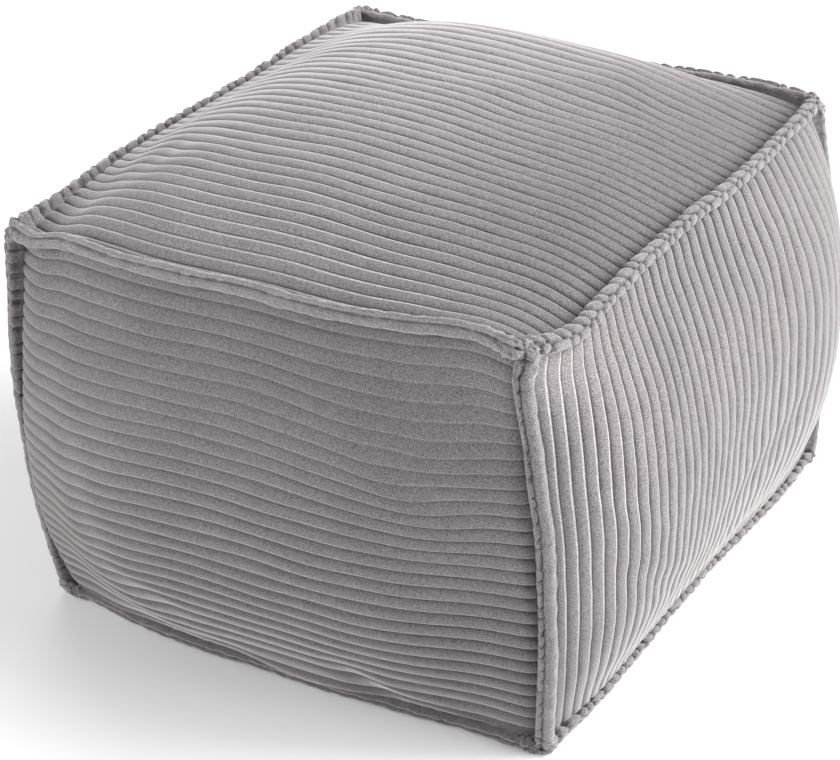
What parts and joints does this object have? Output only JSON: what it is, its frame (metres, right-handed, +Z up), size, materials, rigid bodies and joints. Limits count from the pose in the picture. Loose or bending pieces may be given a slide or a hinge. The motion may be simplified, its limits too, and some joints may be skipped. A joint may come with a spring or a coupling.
{
  "type": "pouf ottoman",
  "caption": "Square, plump pouf ottoman in wide-wale cord velvet, with its seams turned outwards along every edge.",
  "frame": {"origin": "on the floor, under the middle of the pouf", "axes": "+Z up, +X to the right as seen from the front, +Y towards the back; the front panel, whose wales lie level, faces -Y"},
  "size_m": [0.5102, 0.5218, 0.3517],
  "materials": {
    "cord_velvet": "wide-wale cord velvet, soft and matt with a bright edge on each wale",
    "cord_velvet_seam": "the same cloth, folded and sewn with its seams outwards"
  },
  "bodies": {
    "root": {"filled_body": "cord_velvet", "seam_top_front": "cord_velvet_seam", "seam_top_right": "cord_velvet_seam", "seam_top_back": "cord_velvet_seam", "seam_top_left": "cord_velvet_seam", "seam_bottom_front": "cord_velvet_seam", "seam_bottom_right": "cord_velvet_seam", "seam_bottom_back": "cord_velvet_seam", "seam_bottom_left": "cord_velvet_seam", "seam_post_front_left": "cord_velvet_seam", "seam_post_front_right": "cord_velvet_seam", "seam_post_back_right": "cord_velvet_seam", "seam_post_back_left": "cord_velvet_seam"}
  },
  "joints": []
}
